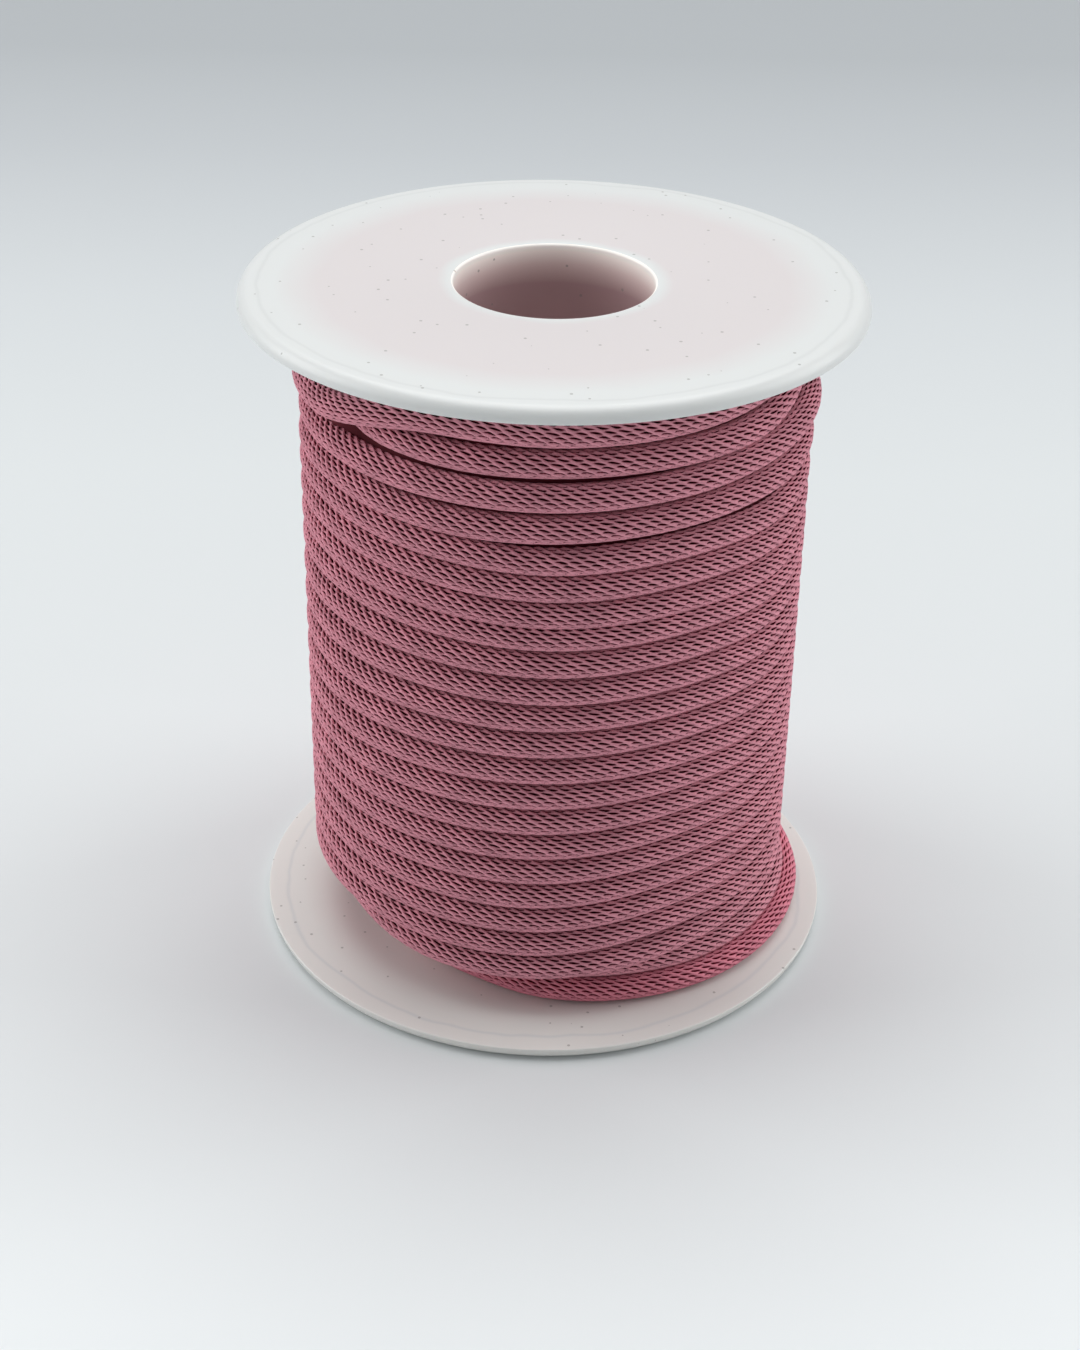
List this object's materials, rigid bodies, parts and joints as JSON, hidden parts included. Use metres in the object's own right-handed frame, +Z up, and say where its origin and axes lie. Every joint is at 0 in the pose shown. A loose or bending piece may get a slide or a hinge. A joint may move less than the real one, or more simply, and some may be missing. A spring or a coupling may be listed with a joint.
{
  "type": "twisted cord wound on a plastic spool",
  "caption": "Soft twisted jewellery cord wound in layers on a translucent plastic spool with two round flanges and a hollow core.",
  "frame": {"origin": "centre of the bottom flange's underside, on the spool's axis", "axes": "+Z up along the spool's axis; -Y is the front in the picture and +X is to its right"},
  "size_m": [0.064, 0.064, 0.075],
  "materials": {
    "moulded_plastic": "translucent white, satin",
    "yarn": "dusty pink twisted yarn, matt with a soft sheen"
  },
  "bodies": {
    "root": {"spool_lower": "moulded_plastic", "spool_upper": "moulded_plastic", "wound_cord": "yarn"}
  },
  "joints": []
}
